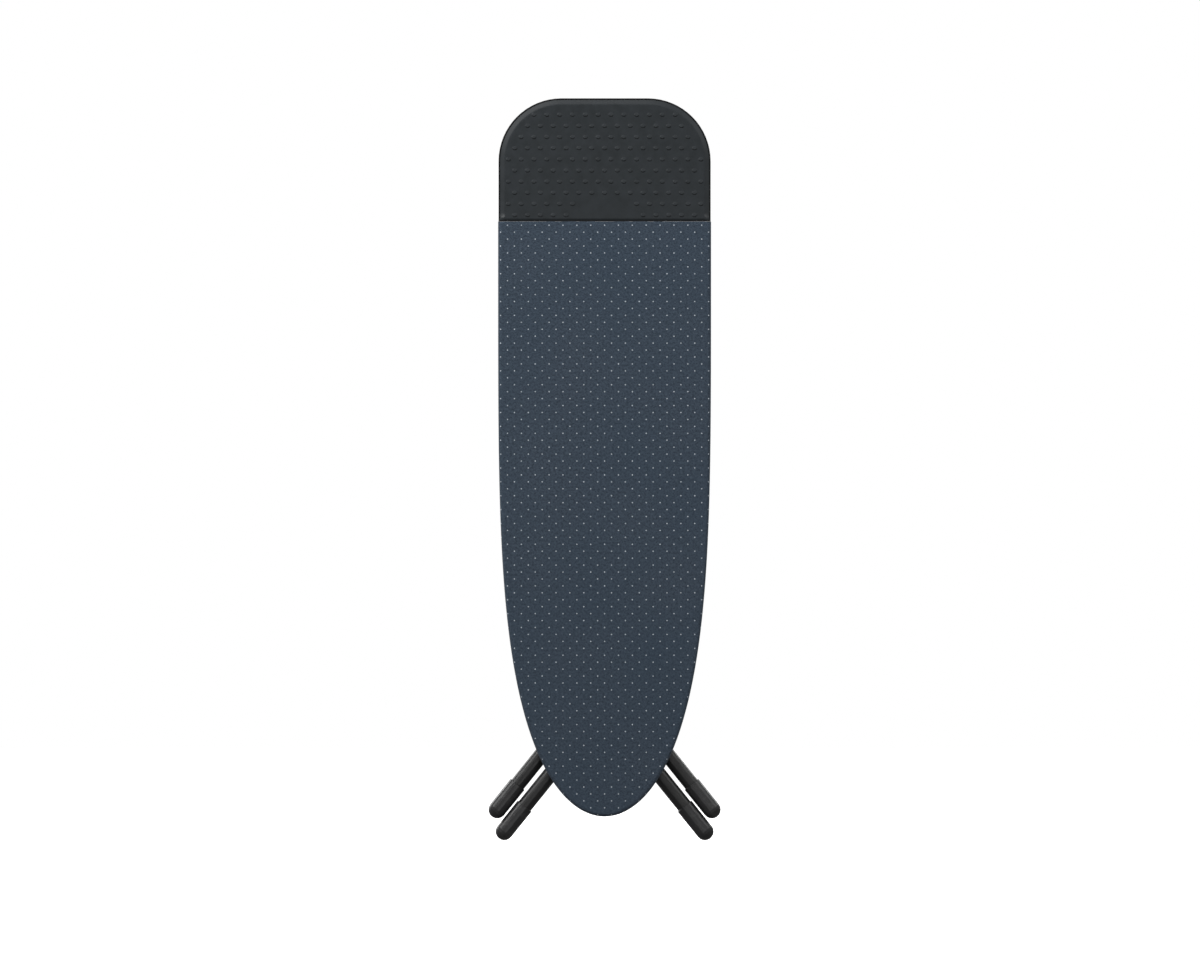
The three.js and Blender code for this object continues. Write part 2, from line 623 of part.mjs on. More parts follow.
// ---- Carriage ----
const BAR_FRONT = 27;
const BAR_THICK = 3;
const BAR_HALF = 12;
const CHEEK_NEAR = 81;
const CHEEK_FAR = CHEEK_NEAR + BAR_THICK;
const CHEEK_BACK = LEG_DEPTH + 8;
const barProfile = polygon([
  [-CHEEK_FAR, BAR_FRONT],
  [CHEEK_FAR, BAR_FRONT],
  [CHEEK_FAR, CHEEK_BACK],
  [CHEEK_NEAR, CHEEK_BACK],
  [CHEEK_NEAR, BAR_FRONT + BAR_THICK],
  [-CHEEK_NEAR, BAR_FRONT + BAR_THICK],
  [-CHEEK_NEAR, CHEEK_BACK],
  [-CHEEK_FAR, CHEEK_BACK],
]);
const pinHole = rodAlongX(PIN_R + FIT, -RAIL_OUTER_X, RAIL_OUTER_X, LEG_DEPTH, CARRIAGE_Z);
const bar = alongZ(barProfile, CARRIAGE_Z - BAR_HALF, CARRIAGE_Z + BAR_HALF).subtract(pinHole);
place(carriage, "carriage_bar", bar, ZINC);

const GLIDE_LENGTH = 40;
const PIN_HEAD_R = 7;
const PIN_HEAD_THICK = 3;
const PIN_WASHER_R = 8;
for (const { name, sign } of SIDES) {
  const [x0, x1] = span(sign, RAIL_INNER_X + GAP, RAIL_OUTER_X - RAIL_WALL - GAP);
  const low = CARRIAGE_Z - GLIDE_LENGTH / 2;
  const glide = box(x0, x1, LEG_DEPTH - GLIDE_HALF, LEG_DEPTH + GLIDE_HALF, low, low + GLIDE_LENGTH)
    .subtract(pinHole);
  place(carriage, "carriage_glide_" + name, glide, ACETAL);

  const headX = OUTER_X - TUBE_R - GAP;
  const [pinX0, pinX1] = span(sign, headX - 1, RAIL_OUTER_X - RAIL_WALL - 1);
  const [headX0, headX1] = span(sign, headX - PIN_HEAD_THICK, headX);
  const pin = joined(
    rodAlongX(PIN_R, pinX0, pinX1, LEG_DEPTH, CARRIAGE_Z),
    rodAlongX(PIN_HEAD_R, headX0, headX1, LEG_DEPTH, CARRIAGE_Z),
  );
  place(carriage, "carriage_pin_" + name, pin, ZINC);

  const [washerX0, washerX1] = span(sign, strapReach + GAP, CHEEK_NEAR - GAP);
  const washer = rodAlongX(PIN_WASHER_R, washerX0, washerX1, LEG_DEPTH, CARRIAGE_Z).subtract(pinHole);
  place(carriage, "carriage_washer_" + name, washer, ACETAL);
}

// ---- Height lock: a notched rack that the lever's shaft draws towards the board ----
const NOTCH_R = 3.2;
const NOTCH_RISE = 0.4; // the notch centres stand this far behind the rack's back edge
const FIRST_NOTCH = 24; // above the rack's pivot
const RACK_FRONT = 20.5;
const RACK_TIP_BACK = 23; // thinner tip, which the crank draws in
const RACK_TIP_TOP = SHAFT_Z - 7;
const RACK_TIP_LOW = SHAFT_Z - 16;
const RACK_EYE_R = 5;
const RACK_PIN_R = 2;
const RACK_PIN_HALF = 13;

let rackBar = alongX(
  polygon([
    [RACK_FRONT, RACK_PIVOT_Z - RACK_EYE_R],
    [RACK_BACK, RACK_PIVOT_Z - RACK_EYE_R],
    [RACK_BACK, RACK_TIP_LOW - 3],
    [RACK_TIP_BACK, RACK_TIP_LOW],
    [RACK_TIP_BACK, RACK_TIP_TOP],
    [RACK_FRONT, RACK_TIP_TOP],
  ]),
  -RACK_HALF_WIDTH,
  RACK_HALF_WIDTH,
).add(rodAlongX(RACK_EYE_R, -RACK_HALF_WIDTH, RACK_HALF_WIDTH, RACK_PIVOT_DEPTH, RACK_PIVOT_Z, 16));
const cutReach = RACK_HALF_WIDTH + 2; // a cut runs out past both sides of the rack
for (let i = 0; i < NOTCH_COUNT; i += 1) {
  const z = RACK_PIVOT_Z + FIRST_NOTCH + i * NOTCH_PITCH;
  rackBar = rackBar.subtract(rodAlongX(NOTCH_R, -cutReach, cutReach, RACK_BACK + NOTCH_RISE, z, 12));
}
const rackBore = rodAlongX(RACK_PIN_R + FIT, -2 * cutReach, 2 * cutReach, RACK_PIVOT_DEPTH, RACK_PIVOT_Z, 12);
place(rack, "lock_rack", rackBar.subtract(rackBore), ZINC);
const rackPin = rodAlongX(RACK_PIN_R, -RACK_PIN_HALF, RACK_PIN_HALF, RACK_PIVOT_DEPTH, RACK_PIVOT_Z, 12);
place(board, "rack_pin", rackPin, ZINC);

const RACK_BRACKET_BACK = 24;
const RACK_BRACKET_HALF = 8; // half its length up the board
const bracketInner = RACK_HALF_WIDTH + SIDE_PLAY;
const bracketOuter = bracketInner + SHEET;
const rackBracket = alongZ(
  polygon([
    [-bracketOuter, FRAME_FRONT],
    [bracketOuter, FRAME_FRONT],
    [bracketOuter, RACK_BRACKET_BACK],
    [bracketInner, RACK_BRACKET_BACK],
    [bracketInner, FRAME_FRONT + SHEET],
    [-bracketInner, FRAME_FRONT + SHEET],
    [-bracketInner, RACK_BRACKET_BACK],
    [-bracketOuter, RACK_BRACKET_BACK],
  ]),
  RACK_PIVOT_Z - RACK_BRACKET_HALF,
  RACK_PIVOT_Z + RACK_BRACKET_HALF,
).subtract(rackBore);
place(board, "rack_bracket", rackBracket, CHARCOAL_STEEL);

const SHAFT_X0 = -12;
const SHAFT_X1 = 146;
const CRANK_HUB_R = 5;
const CRANK_BACK = 26.3; // the crank's finger hooks behind the rack's tip
const FINGER_FRONT = CRANK_BACK - 2.8;
const FINGER_LENGTH = 15;
const shaftRod = rodAlongX(SHAFT_R, SHAFT_X0, SHAFT_X1, SHAFT_DEPTH, SHAFT_Z, 16);
const crank = joined(
  rodAlongX(CRANK_HUB_R, -RACK_HALF_WIDTH, RACK_HALF_WIDTH, SHAFT_DEPTH, SHAFT_Z, 16),
  alongX(
    polygon([
      [SHAFT_DEPTH + 2, SHAFT_Z + 4],
      [CRANK_BACK, SHAFT_Z],
      [CRANK_BACK, SHAFT_Z - FINGER_LENGTH],
      [FINGER_FRONT, SHAFT_Z - FINGER_LENGTH],
      [FINGER_FRONT, SHAFT_Z - 5.5],
      [SHAFT_DEPTH - 2, SHAFT_Z - 4],
    ]),
    -RACK_HALF_WIDTH,
    RACK_HALF_WIDTH,
  ),
);
place(lever, "lift_shaft", joined(shaftRod, crank), ZINC);

const LEVER_X0 = 134;
const LEVER_X1 = 160;
const LEVER_HUB_R = 7;
// The lever's side outline, in depth and Z: a curved paddle that leans away from the board towards its tip
const leverBody = joined(
  rodAlongX(LEVER_HUB_R, LEVER_X0, LEVER_X1, SHAFT_DEPTH, SHAFT_Z),
  alongX(
    polygon([
      [12, SHAFT_Z - 3],
      [21, SHAFT_Z - 12],
      [38, SHAFT_Z - 62],
      [46, SHAFT_Z - 80],
      [50, SHAFT_Z - 96],
      [54, SHAFT_Z - 95],
      [52, SHAFT_Z - 76],
      [44, SHAFT_Z - 56],
      [28, SHAFT_Z - 6],
      [21, SHAFT_Z + 5],
    ]),
    LEVER_X0,
    LEVER_X1,
  ),
).subtract(rodAlongX(SHAFT_R + FIT, LEVER_X0 - 1, SHAFT_X1 + GAP, SHAFT_DEPTH, SHAFT_Z, 16));
place(lever, "release_lever", leverBody, PLASTIC);

const SHAFT_BRACKETS = { inner: 48, outer: 120 };
const SHAFT_EYE_R = 6;
const SHAFT_FOOT_HALF = 12;
const SHAFT_FOOT_WIDTH = 14;
const UPRIGHT_THICK = 2;
for (const [name, x] of Object.entries(SHAFT_BRACKETS)) {
  const upright = new THREE.Shape();
  const footLow = SHAFT_Z - SHAFT_FOOT_HALF;
  const footHigh = SHAFT_Z + SHAFT_FOOT_HALF;
  upright.moveTo(FRAME_FRONT, footLow);
  upright.lineTo(SHAFT_DEPTH, SHAFT_Z - SHAFT_EYE_R);
  upright.absarc(SHAFT_DEPTH, SHAFT_Z, SHAFT_EYE_R, -Math.PI / 2, Math.PI / 2, false);
  upright.lineTo(FRAME_FRONT, footHigh);
  const foot = box(x, x + SHAFT_FOOT_WIDTH, FRAME_FRONT, FRAME_FRONT + SHEET, footLow, footHigh);
  const bracket = joined(alongX(upright, x, x + UPRIGHT_THICK), foot)
    .subtract(rodAlongX(SHAFT_R + FIT, x - 1, x + UPRIGHT_THICK + 1, SHAFT_DEPTH, SHAFT_Z, 16));
  place(board, "shaft_bracket_" + name, bracket, CHARCOAL_STEEL);
}

// A torsion spring wound on the lever's shaft
const SPRING_TURNS = 5;
const SPRING_R = 4.4;
const SPRING_WIRE_R = 0.8;
const SPRING_X = 20;
const SPRING_LENGTH = 14;

class SpringHelix extends THREE.Curve {
  getPoint(t) {
    const angle = t * SPRING_TURNS * 2 * Math.PI;
    return new THREE.Vector3(
      SPRING_X + t * SPRING_LENGTH,
      SHAFT_DEPTH + SPRING_R * Math.cos(angle),
      SHAFT_Z + SPRING_R * Math.sin(angle),
    );
  }
}
const springWire = new THREE.ExtrudeGeometry(new THREE.Shape(circlePoints(SPRING_WIRE_R, 6)), {
  extrudePath: new SpringHelix(),
  steps: 10 * SPRING_TURNS,
  bevelEnabled: false,
});
place(board, "lever_spring", solidOf(springWire), ZINC);

ironingBoard.position.y = -TOTAL_DEPTH / 2;

export default ironingBoard;
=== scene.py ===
"""Looks for the folding ironing board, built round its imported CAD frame. Metres, +Z up."""

import json
import math

import bmesh
import bpy
import numpy as np
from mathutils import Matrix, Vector


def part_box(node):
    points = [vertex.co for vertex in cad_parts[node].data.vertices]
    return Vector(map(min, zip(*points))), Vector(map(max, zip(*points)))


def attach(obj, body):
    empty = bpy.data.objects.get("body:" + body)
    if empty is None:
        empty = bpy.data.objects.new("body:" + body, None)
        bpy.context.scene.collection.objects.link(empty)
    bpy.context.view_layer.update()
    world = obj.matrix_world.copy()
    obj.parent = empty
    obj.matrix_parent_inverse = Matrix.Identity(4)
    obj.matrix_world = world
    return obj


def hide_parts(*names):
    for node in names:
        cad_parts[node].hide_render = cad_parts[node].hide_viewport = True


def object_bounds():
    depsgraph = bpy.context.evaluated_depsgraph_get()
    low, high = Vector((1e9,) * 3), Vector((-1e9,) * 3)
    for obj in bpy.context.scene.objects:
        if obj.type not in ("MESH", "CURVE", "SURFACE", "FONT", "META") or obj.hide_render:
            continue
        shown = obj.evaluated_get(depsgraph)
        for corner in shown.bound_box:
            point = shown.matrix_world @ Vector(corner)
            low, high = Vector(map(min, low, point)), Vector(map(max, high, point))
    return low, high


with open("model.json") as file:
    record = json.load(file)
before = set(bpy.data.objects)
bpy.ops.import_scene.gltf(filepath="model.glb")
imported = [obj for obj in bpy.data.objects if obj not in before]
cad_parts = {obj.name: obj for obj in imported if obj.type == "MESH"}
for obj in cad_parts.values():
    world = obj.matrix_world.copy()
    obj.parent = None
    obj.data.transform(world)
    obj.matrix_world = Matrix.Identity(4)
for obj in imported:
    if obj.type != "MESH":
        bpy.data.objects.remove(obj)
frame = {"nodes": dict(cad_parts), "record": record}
cad_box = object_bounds()
MM = 0.001  # metres

# ---- Camera: square on to the ironing surface, from far off so that little perspective shows ----
VIEW_WIDTH = 2.141  # metres across the picture, at the ironing surface
VIEW_HEIGHT = 0.632  # of the picture's centre above the floor
VIEW_LEFT = 0.0082  # the object stands this far right of the picture's centre
VIEW_DISTANCE = 40.0
VIEW_CLIP = 300.0
SENSOR = 36.0  # millimetres

camera = bpy.data.objects.new("camera", bpy.data.cameras.new("camera"))
camera.data.sensor_width = SENSOR
camera.data.lens = SENSOR * VIEW_DISTANCE / VIEW_WIDTH
camera.data.clip_end = VIEW_CLIP
camera.location = (-VIEW_LEFT, cad_box[0].y - VIEW_DISTANCE, VIEW_HEIGHT)
camera.rotation_euler = (math.pi / 2, 0, 0)
bpy.context.scene.collection.objects.link(camera)
bpy.context.scene.camera = camera


# ---- Light ----
# A soft key from above, a bank at each side for the tubes, and fills in front and behind.
def area_light(name, place, aim, size, power):
    """A round lamp that the camera doesn't see, turned towards the point aim."""
    lamp = bpy.data.objects.new(name, bpy.data.lights.new(name, "AREA"))
    lamp.data.shape = "DISK"
    lamp.data.size = size
    lamp.data.energy = power
    lamp.location = place
    lamp.rotation_euler = (Vector(aim) - Vector(place)).to_track_quat("-Z", "Y").to_euler()
    lamp.visible_camera = False
    bpy.context.scene.collection.objects.link(lamp)


area_light("key_light", place=(-1.1, -2.7, 4.7), aim=(0, 0, 0.7), size=1.5, power=68)
area_light("left_bank", place=(-2.7, -1.7, 3.0), aim=(0, 0, 0.3), size=1.1, power=84)
area_light("right_bank", place=(2.7, -1.8, 2.8), aim=(0, 0, 0.2), size=1.1, power=38)
area_light("low_front", place=(0.1, -2.4, 0.15), aim=(0, 0, 0.3), size=1.2, power=7.5)
area_light("back_light", place=(2.0, 3.0, 3.0), aim=(0, 0, 0.7), size=2.2, power=125)
area_light("back_fill", place=(-2.8, 2.6, 1.4), aim=(0, 0, 0.6), size=2.2, power=50)

ROOM_GLOW = 0.16  # the room lights the object this much, and the camera sees it at full white
world = bpy.data.worlds.new("white_room")
world.use_nodes = True
room = world.node_tree
background = room.nodes["Background"]
lamp_path = room.nodes.new("ShaderNodeLightPath")
strength = room.nodes.new("ShaderNodeMapRange")
strength.inputs["To Min"].default_value = ROOM_GLOW
room.links.new(lamp_path.outputs["Is Camera Ray"], strength.inputs["Value"])
room.links.new(strength.outputs["Result"], background.inputs["Strength"])
background.inputs["Color"].default_value = (1, 1, 1, 1)
bpy.context.scene.world = world
bpy.context.scene.view_settings.view_transform = "Standard"


# ---- Material helpers ----
class Look:
    """A material whose nodes are added by short calls.

    A value that is a socket is linked. An input is named by its label, or by i and its number.
    """

    def __init__(self, name):
        self.material = bpy.data.materials.new(name)
        self.material.use_nodes = True
        self.tree = self.material.node_tree
        self.shader = self.tree.nodes["Principled BSDF"]
        coordinates = self.tree.nodes.new("ShaderNodeTexCoord")
        self.place = coordinates.outputs["Object"]

    def node(self, kind, settings=None, **values):
        made = self.tree.nodes.new("ShaderNode" + kind)
        for key, value in (settings or {}).items():
            setattr(made, key, value)
        for key, value in values.items():
            socket = int(key[1:]) if key[1:].isdigit() else key.replace("_", " ")
            self.put(made.inputs[socket], value)
        return made

    def put(self, socket, value):
        if isinstance(value, bpy.types.NodeSocket):
            self.tree.links.new(value, socket)
        else:
            socket.default_value = value

    def math(self, operation, a, b=0.0):
        return self.node("Math", {"operation": operation}, i0=a, i1=b).outputs[0]

    def noise(self, scale, detail=2.0, roughness=0.5, place=None):
        """A noise texture's value, with a scale in waves per metre."""
        place = self.place if place is None else place
        made = self.node("TexNoise", Vector=place, Scale=scale, Detail=detail, Roughness=roughness)
        return made.outputs["Fac"]

    def spread(self, value, low, high, out_low, out_high):
        values = {"From_Min": low, "From_Max": high, "To_Min": out_low, "To_Max": out_high}
        return self.node("MapRange", Value=value, **values).outputs["Result"]

    def vary(self, noise, out_low, out_high):
        """Spread over the range that most of a noise's values lie in."""
        return self.spread(noise, 0.3, 0.7, out_low, out_high)

    def mix(self, factor, a, b):
        return self.node("Mix", {"data_type": "RGBA"}, i0=factor, i6=a, i7=b).outputs[2]

    def stretched(self, *scale):
        return self.node("Mapping", Vector=self.place, Scale=scale).outputs["Vector"]

    def set(self, **values):
        for key, value in values.items():
            self.put(self.shader.inputs[key.replace("_", " ")], value)

    def bump(self, height, depth):
        made = self.node("Bump", Height=height, Distance=depth)
        self.put(self.shader.inputs["Normal"], made.outputs["Normal"])


def rgb(*display):
    """A colour in linear light from 0-255 display values."""
    return tuple(((c / 255 + 0.055) / 1.055) ** 2.4 for c in display) + (1,)


def scaled(colour, factor):
    return tuple(c * factor for c in colour[:3]) + (1,)


# ---- Materials ----
def moulded(name, colour, roughness, grain=0.5 * MM, depth=0.012 * MM, contrast=1.3):
    """Moulded plastic: spark-eroded grain, faint flow marks, uneven gloss and pale scuffs."""
    look = Look(name)
    slow = look.noise(9, 3)
    fine = look.noise(1 / grain, 2)
    scuffs = look.spread(look.noise(70, 5, 0.7), 0.62, 0.78, 0, 0.3)
    tone = look.math("ADD", look.math("MULTIPLY", slow, 0.6), look.math("MULTIPLY", fine, 0.4))
    dark, light = scaled(colour, 1 / contrast), scaled(colour, contrast)
    skin = look.mix(look.vary(tone, 0, 1), dark, light)
    look.set(
        Base_Color=look.mix(scuffs, skin, scaled(colour, 1.7)),
        Roughness=look.vary(look.noise(40, 3), roughness - 0.06, roughness + 0.08),
    )
    look.bump(fine, depth)
    return look.material


def powder_coat(name, colour, roughness):
    """Satin powder coat: orange peel, faint mottling and a few paler rubbed specks."""
    look = Look(name)
    peel = look.noise(420, 2)
    mottle = look.noise(30, 4)
    specks = look.spread(look.noise(700, 1), 0.74, 0.8, 0, 0.35)
    coat = look.mix(look.vary(mottle, 0, 1), scaled(colour, 0.85), scaled(colour, 1.15))
    look.set(
        Base_Color=look.mix(specks, coat, scaled(colour, 2.4)),
        Roughness=look.vary(mottle, roughness - 0.05, roughness + 0.06),
        Specular_IOR_Level=0.4,
    )
    look.bump(peel, depth=0.014 * MM)
    return look.material


def zinc_plate(name):
    """Bright zinc on steel: cloudy tone, fine drawn lines and soft gloss changes."""
    look = Look(name)
    cloud = look.noise(60, 4)
    lines = look.noise(1, 2, 0.6, look.stretched(150, 2600, 2600))
    look.set(
        Base_Color=look.mix(look.vary(cloud, 0, 1), rgb(150, 153, 156), rgb(196, 199, 201)),
        Metallic=1.0,
        Roughness=look.vary(lines, 0.28, 0.46),
    )
    look.bump(lines, depth=0.02 * MM)
    return look.material


def needled_felt(name):
    """Pale felt of short tangled fibres, with uneven clumps."""
    look = Look(name)
    fibres = look.noise(900, 4, 0.7)
    clumps = look.noise(120, 3)
    look.set(
        Base_Color=look.mix(look.vary(clumps, 0, 1), rgb(188, 183, 171), rgb(224, 219, 208)),
        Roughness=look.vary(fibres, 0.92, 1.0),
        Sheen_Weight=0.3,
    )
    look.bump(look.math("ADD", fibres, clumps), depth=0.5 * MM)
    return look.material


def staggered_dots(look, along, across, pitch, radius, softness):
    """1 inside the dots of a square lattice turned 45 degrees, and 0 outside them."""

    def nearest(shift):
        squares = []
        for value in (along, across):
            turns = look.math("ADD", look.math("DIVIDE", value, pitch), shift)
            offset = look.math("SUBTRACT", look.math("FRACT", turns), 0.5)
            squares.append(look.math("POWER", look.math("MULTIPLY", offset, pitch), 2.0))
        return look.math("SQRT", look.math("ADD", *squares))

    distance = look.math("MINIMUM", nearest(0.5), nearest(0.0))
    return look.spread(distance, radius - softness, radius + softness, 1, 0)


DOT_PITCH = 24.75 * MM
DOT_RADIUS = 1.0 * MM
DOT_SOFTNESS = 0.2 * MM
THREAD = 0.7 * MM


def printed_cotton(name):
    """Slate-navy melange cotton in a plain weave with small pale printed dots.

    It is laid out on the coordinates that lay_flat stores.
    """
    look = Look(name)
    cloth = look.node("Attribute", {"attribute_name": "cloth"}).outputs["Vector"]
    parts = look.node("SeparateXYZ", Vector=cloth)
    weft, warp = parts.outputs["X"], parts.outputs["Y"]
    per_thread = 2 * math.pi / THREAD
    waves = [look.math("SINE", look.math("MULTIPLY", v, per_thread)) for v in (weft, warp)]
    weave = look.math("MULTIPLY", *waves)
    speckle = look.noise(560, 2, 0.6, cloth)
    melange = look.noise(230, 3, 0.65, cloth)
    slow = look.noise(5, 2, 0.5, cloth)
    fine, coarse = look.math("MULTIPLY", speckle, 0.55), look.math("MULTIPLY", melange, 0.45)
    tone = look.math("ADD", fine, coarse)
    yarn = look.mix(look.spread(tone, 0.36, 0.64, 0, 1), rgb(36, 48, 61), rgb(82, 95, 110))
    yarn = look.mix(look.vary(slow, 0, 0.3), yarn, rgb(49, 68, 85))
    dots = staggered_dots(look, weft, warp, DOT_PITCH, DOT_RADIUS, DOT_SOFTNESS)
    worn = look.spread(speckle, 0.4, 0.7, 1.0, 0.75)
    look.set(
        Base_Color=look.mix(look.math("MULTIPLY", dots, worn), yarn, rgb(226, 236, 246)),
        Roughness=look.vary(tone, 0.82, 0.96),
        Sheen_Weight=0.08,
        Sheen_Roughness=0.6,
        Specular_IOR_Level=0.25,
    )
    look.bump(look.math("ADD", look.math("MULTIPLY", weave, 0.5), melange), depth=0.16 * MM)
    return look.material


HOLE_PITCH = 9 * MM
HOLE_RADIUS = 2.2 * MM
HOLE_SOFTNESS = 0.25 * MM


def perforated_steel(name):
    """Powder-coated steel sheet with close round steam holes, through which the felt shows,
    darkened as painted shade.
    """
    look = Look(name)
    parts = look.node("SeparateXYZ", Vector=look.place)
    across, along = parts.outputs["X"], parts.outputs["Z"]
    holes = staggered_dots(look, across, along, HOLE_PITCH, HOLE_RADIUS, HOLE_SOFTNESS)
    mottle = look.noise(40, 4)
    steel = look.mix(look.vary(mottle, 0, 1), rgb(58, 59, 61), rgb(76, 77, 79))
    # The holes show the felt's colour, darkened as painted shade for the shadow behind the sheet.
    fibres = look.mix(look.noise(900, 3), rgb(120, 117, 110), rgb(168, 164, 154))
    look.set(
        Base_Color=look.mix(holes, steel, fibres),
        Roughness=look.spread(holes, 0, 1, 0.45, 0.95),
    )
    peel = look.math("MULTIPLY", look.noise(420, 2), 0.05)
    look.bump(look.math("SUBTRACT", peel, holes), depth=0.8 * MM)
    return look.material


def silicone(name):
    """Matt slate-grey silicone with a very fine grain and faint dusty clouding.

    The bumps' lower lips get painted shade, by the "lip" value that make_bumps stores.
    """
    look = Look(name)
    grain = look.noise(1400, 2)
    cloud = look.noise(55, 4, 0.6)
    lip = look.node("Attribute", {"attribute_name": "lip"}).outputs["Fac"]
    dusty = look.mix(look.vary(cloud, 0, 1), rgb(36, 41, 44), rgb(43, 48, 52))
    look.set(
        # Painted shade: the lip value mixes the bumps' lower lips towards near-black.
        Base_Color=look.mix(lip, dusty, rgb(10, 12, 14)),
        Roughness=look.vary(cloud, 0.46, 0.54),
        Specular_IOR_Level=0.4,
    )
    look.bump(grain, depth=0.012 * MM)
    return look.material


def foot_rubber(name):
    """Dark moulded feet with a fine grain and scuffed, dustier patches."""
    look = Look(name)
    grain = look.noise(1500, 2)
    dust = look.spread(look.noise(85, 5, 0.65), 0.52, 0.75, 0, 0.55)
    look.set(
        Base_Color=look.mix(dust, rgb(45, 45, 46), rgb(80, 80, 79)),
        Roughness=look.spread(dust, 0, 0.5, 0.33, 0.43),
    )
    look.bump(grain, depth=0.014 * MM)
    return look.material


LOOKS = {
    "cover_fabric": printed_cotton("printed_cotton"),
    "pad_felt": needled_felt("needled_felt"),
    "panel_steel": perforated_steel("perforated_steel"),
    "frame_paint": powder_coat("frame_powder_coat", rgb(45, 45, 47), roughness=0.46),
    "leg_paint": powder_coat("leg_powder_coat", rgb(46, 46, 46), roughness=0.36),
    "foot_rubber": foot_rubber("foot_rubber"),
    "black_plastic": moulded("black_plastic", rgb(36, 37, 39), roughness=0.5),
    "tray_plastic": moulded("tray_plastic", rgb(15, 16, 17), roughness=0.6),
    "mat_silicone": silicone("mat_silicone"),
    "zinc_steel": zinc_plate("zinc_plate"),
    "acetal": moulded(
        "grey_acetal",
        rgb(142, 147, 150),
        roughness=0.42,
        grain=0.4 * MM,
        depth=0.015 * MM,
        contrast=1.08,
    ),
}

for part in frame["record"]["subparts"]:
    node = frame["nodes"][part["node"]]
    for slot in node.material_slots:
        slot.link = "OBJECT"
        slot.material = LOOKS[part["material_slot"]]


# ---- Piece helpers ----
MERGE_DISTANCE = 0.02 * MM


def add_piece(name, vertices, faces, body, material_slot):
    mesh = bpy.data.meshes.new(name)
    mesh.from_pydata([tuple(v) for v in vertices], [], faces)
    mesh.shade_smooth()
    mesh.materials.append(LOOKS[material_slot])
    piece = bpy.data.objects.new(name, mesh)
    bpy.context.scene.collection.objects.link(piece)
    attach(piece, body)
    return piece


def ring_faces(count, width):
    """Quads between neighbouring stations round a closed ring, with width points at each."""
    faces = []
    for i in range(count):
        j = (i + 1) % count
        for k in range(width - 1):
            here, there = i * width + k, j * width + k
            faces.append((here, here + 1, there + 1, there))
    return faces


def tidy_mesh(piece):
    """Merges points that fall together, removes empty faces and turns the rest outward."""
    shell = bmesh.new()
    shell.from_mesh(piece.data)
    bmesh.ops.remove_doubles(shell, verts=shell.verts, dist=MERGE_DISTANCE)
    bmesh.ops.dissolve_degenerate(shell, edges=shell.edges, dist=MERGE_DISTANCE)
    bmesh.ops.recalc_face_normals(shell, faces=shell.faces)
    shell.to_mesh(piece.data)
    shell.free()


# ---- Outline of the cover ----
cover_low, cover_high = (np.array(corner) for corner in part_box("cover"))
HALF_WIDTH = cover_high[0]
NOSE_Z = cover_low[2]
SEAM_Z = cover_high[2]
SHOULDER_Z = SEAM_Z - 59.1 * MM  # the sides run straight above this
NOSE_FULLNESS = 4.18  # 2 would be an ellipse, and more is blunter
FRONT = cover_low[1]  # the ironing surface's plane
HEM_DEPTH = cover_high[1] - cover_low[1]
NOSE_POINTS = 130  # on each half of the curved end
SIDE_POINTS = 6
TAIL_POINTS = 32


def edge_height(turn):
    """Height on the outline, for a turn from 0 at the nose tip to a quarter at the shoulder."""
    reach = max(math.cos(turn), 0) ** (2 / NOSE_FULLNESS)
    return SHOULDER_Z - reach * (SHOULDER_Z - NOSE_Z)


def board_outline():
    """Points round the cover's edge in x and z, and True for those on its straight tail end."""
    turns = np.linspace(0, math.pi / 2, NOSE_POINTS)
    right = [(HALF_WIDTH * math.sin(t), edge_height(t)) for t in turns]
    right += [(HALF_WIDTH, z) for z in np.linspace(SHOULDER_Z, SEAM_Z, SIDE_POINTS)[1:]]
    tail = [(x, SEAM_Z) for x in np.linspace(HALF_WIDTH, -HALF_WIDTH, TAIL_POINTS)[1:-1]]
    left = [(-x, z) for x, z in reversed(right[1:])]
    points = np.array(right + tail + left)
    on_tail = np.zeros(len(points), bool)
    on_tail[len(right) : len(right) + len(tail)] = True
    return points, on_tail


def outward(points):
    """The outward direction at each point, longer at corners so that both edges move evenly."""
    along = np.roll(points, -1, 0) - points
    along /= np.linalg.norm(along, axis=1)[:, None]
    after = np.stack([along[:, 1], -along[:, 0]], 1)
    before = np.roll(after, 1, 0)
    return (after + before) / (1 + (after * before).sum(1))[:, None]


def travelled(points):
    """The distance walked round the outline to reach each point."""
    step = np.linalg.norm(np.roll(points, -1, 0) - points, axis=1)
    return np.concatenate([[0], np.cumsum(step)[:-1]])


# ---- Cover: one sheet of cloth pulled over the pad and round the rim ----
FLAT_EDGE = 9 * MM  # the profile starts on the flat front, this far from the edge
SIDE_ROLL = 6 * MM  # radius of the rounded edge
TAIL_ROLL = 1.2 * MM  # the same, at the seam with the iron rest
SIDE_GAP = 0.8 * MM  # the hem stays this far in front of the CAD cover's back
TAIL_GAP = 1.5 * MM
HEM_TUCK = 4 * MM  # radius of the turn under the rim
HEM_REACH = 23.5 * MM  # from the outline in to the hem's free edge
INNER_SHARES = (1, 0.86, 0.72, 0.58, 0.44, 0.3, 0.15)  # rings from the middle to the flat edge
SPINE_MARGIN = 170 * MM  # the middle line of the front ends this far from the nose and the seam
WALL_END = 12  # the profile's last point before the skirt turns under
WAVE_LENGTH = 34 * MM  # of the gathers along the hem
WAVE_DEPTH, DEPTH_SEED = 0.9 * MM, 1.3
WAVE_INSET, INSET_SEED = 1.2 * MM, 2.9
FIRST_DOT_ROW = 6.6 * MM  # below the seam
CLOTH_THICKNESS = 0.8 * MM
CHANNEL_RADIUS = 1.7 * MM
CHANNEL_SIDES = 12
CHANNEL_RISE = 0.2 * MM  # of the channel's centre in front of the CAD cover's back
CHANNEL_END_GAP = 0.1 * MM  # the channel stops this close to the seam


